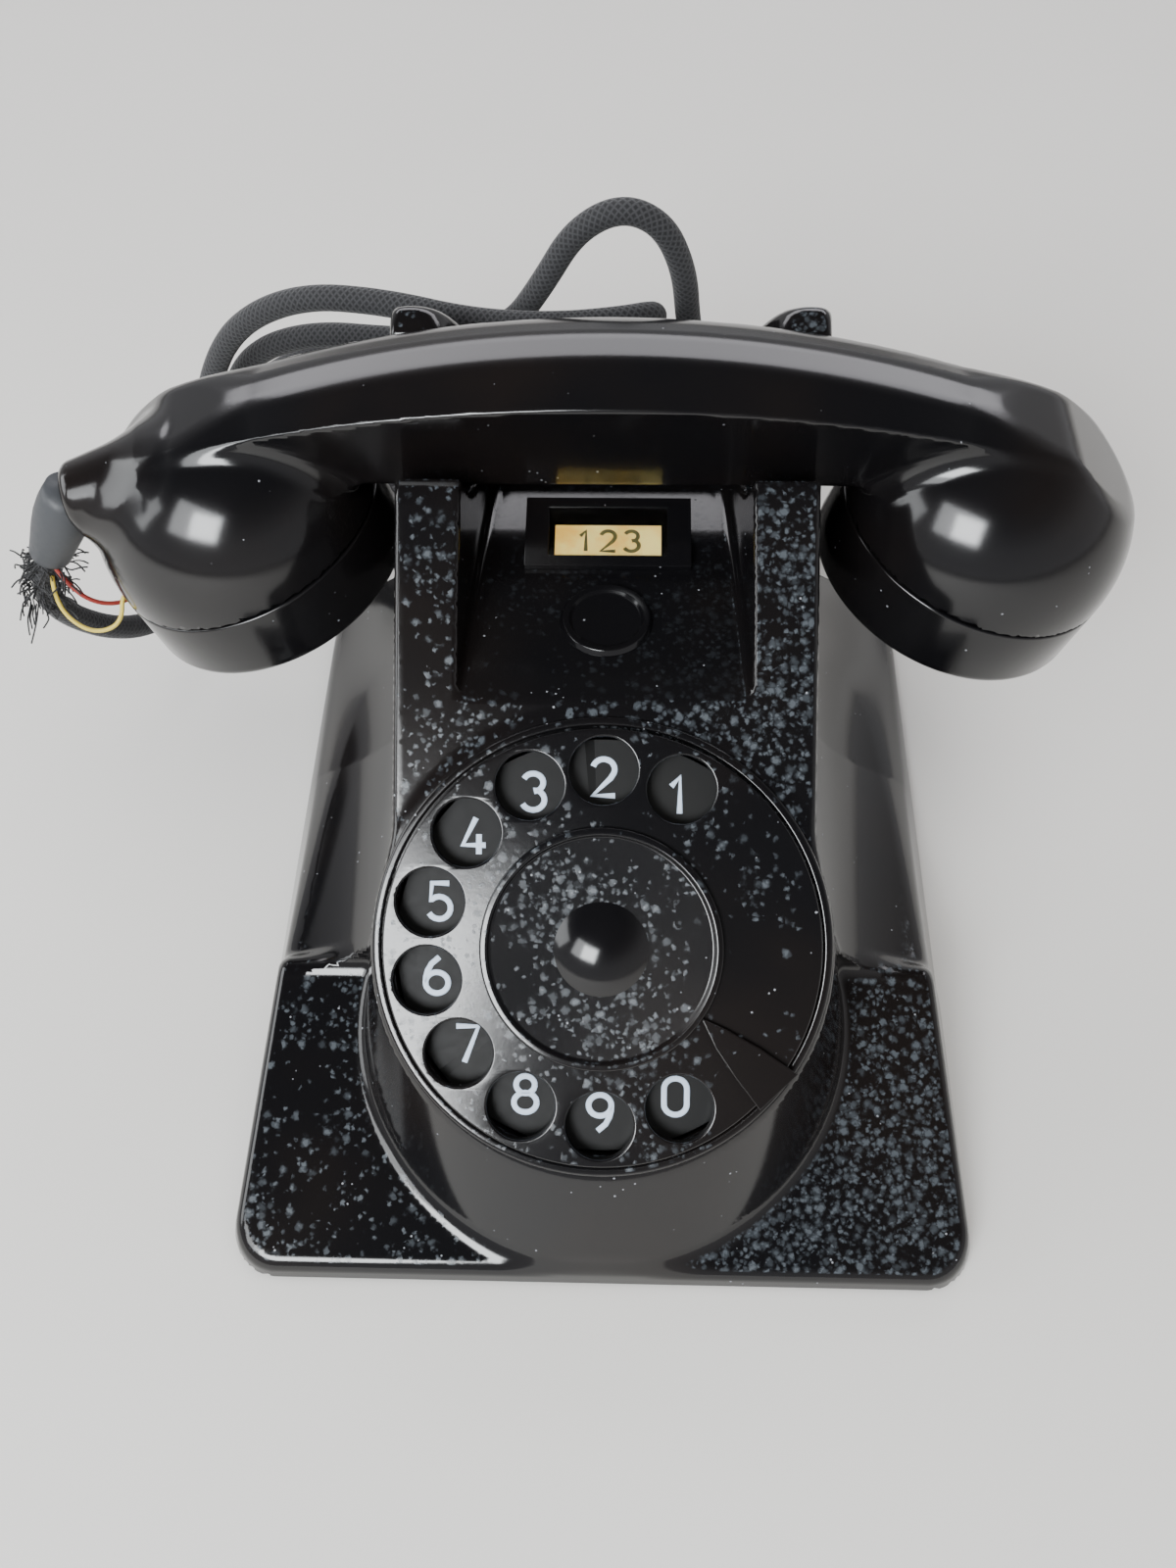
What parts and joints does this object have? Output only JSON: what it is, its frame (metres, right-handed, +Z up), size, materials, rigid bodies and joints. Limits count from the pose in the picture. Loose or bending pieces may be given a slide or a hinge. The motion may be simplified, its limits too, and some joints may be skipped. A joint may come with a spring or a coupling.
{
  "type": "rotary telephone",
  "caption": "Black moulded desk telephone with a rotary dial in its sloping face, a handset across a horned cradle, a bell inside and braided cords.",
  "frame": {"origin": "on the table under the middle of the telephone, cords left out", "axes": "+X to the user's right along the handset, +Y to the back, +Z up"},
  "size_m": [0.2637, 0.3243, 0.1387],
  "materials": {
    "housing_bakelite": "gloss",
    "handset_bakelite": "gloss",
    "dial_bakelite": "gloss",
    "dial_enamel": "satin",
    "numeral_white": "matte",
    "card_paper": "matte",
    "clear_window": "gloss",
    "steel": "brushed",
    "brass": "satin",
    "copper_winding": "satin",
    "insulation": "matte",
    "capacitor_case": "satin",
    "rubber": "matte",
    "grey_rubber": "matte",
    "cord_braid": "matte"
  },
  "bodies": {
    "case": {"base_plate": "steel", "base_screws": "steel", "bell_gongs": "brass", "blanking_plug": "housing_bakelite", "capacitor": "capacitor_case", "card_frame": "housing_bakelite", "card_window": "clear_window", "contact_insulator": "insulation", "dial_bush": "brass", "dial_case": "steel", "dial_numerals": "numeral_white", "dial_ring": "dial_bakelite", "finger_stop": "dial_bakelite", "gong_posts": "steel", "gong_screws": "steel", "handset_cord_coil": "cord_braid", "handset_cord_gland": "grey_rubber", "handset_cord_lead": "cord_braid", "handset_cord_tail": "cord_braid", "housing": "housing_bakelite", "induction_coil": "copper_winding", "line_cord_coil": "cord_braid", "line_cord_gland": "grey_rubber", "line_cord_lead": "cord_braid", "line_cord_tail": "cord_braid", "line_plug": "housing_bakelite", "number_card": "card_paper", "number_plate": "dial_enamel", "plug_pins": "brass", "pulse_contacts": "brass", "return_spring": "steel", "ringer_coils": "copper_winding", "ringer_frame": "steel", "rubber_feet": "rubber", "spring_barrel": "steel", "switch_bracket": "steel", "switch_contacts": "brass", "switch_insulator": "insulation", "switch_pin": "steel", "terminal_block": "insulation", "terminal_screws": "brass"},
    "dial": {"finger_wheel": "dial_bakelite", "centre_disc": "dial_bakelite", "centre_knob": "dial_bakelite", "dial_spindle": "steel", "main_gear": "brass"},
    "pulse_train": {"pulse_shaft": "steel", "pulse_gears": "brass"},
    "governor": {"governor_worm": "steel"},
    "clapper": {"clapper": "steel"},
    "plungers": {"hook_plungers": "insulation"},
    "switch": {"switch_lever": "steel"},
    "handset": {"handset_shell": "handset_bakelite", "earpiece_cap": "handset_bakelite", "mouthpiece_cap": "handset_bakelite", "transmitter_capsule": "capacitor_case", "receiver_capsule": "capacitor_case", "handset_terminals": "insulation", "handset_cord_bush": "grey_rubber"}
  },
  "joints": [
    {"name": "dial_turn", "type": "hinge", "parent": "case", "child": "dial", "pos_m": [0, -0.0477, 0.0613], "axis": [0, 0.5878, -0.809], "range_deg": [0, 330], "stiffness_Nm_per_rad": 0.004, "springref_deg": -85.94},
    {"name": "pulse_spin", "type": "hinge", "parent": "case", "child": "pulse_train", "pos_m": [0.0295, -0.03888, 0.04917], "axis": [0, 0.5878, -0.809], "range_deg": [-826, 1]},
    {"name": "governor_spin", "type": "hinge", "parent": "case", "child": "governor", "pos_m": [0.0197, -0.03877, 0.049], "axis": [0, 0.809, 0.5878], "range_deg": [-1, 5365]},
    {"name": "handset_lift", "type": "slide", "parent": "case", "child": "handset", "axis": [0, 0, 1], "range_m": [0, 0.12]},
    {"name": "plunger_rise", "type": "slide", "parent": "case", "child": "plungers", "axis": [0, 0, 1], "range_m": [0, 0.0051]},
    {"name": "switch_swing", "type": "hinge", "parent": "case", "child": "switch", "pos_m": [0, 0.084, 0.0677], "axis": [-1, 0, 0], "range_deg": [0, 9.1]},
    {"name": "clapper_swing", "type": "hinge", "parent": "case", "child": "clapper", "pos_m": [0, 0.02, 0.036], "axis": [0, 0, 1], "range_deg": [-2.5, 2.5]}
  ],
  "couplings": [
    {"joint": "pulse_spin", "follows": "dial_turn", "ratio": -2.5},
    {"joint": "governor_spin", "follows": "dial_turn", "ratio": 16.25},
    {"joint": "plunger_rise", "follows": "handset_lift", "ratio": 0.041667},
    {"joint": "switch_swing", "follows": "handset_lift", "rad_per_m": 1.3}
  ]
}
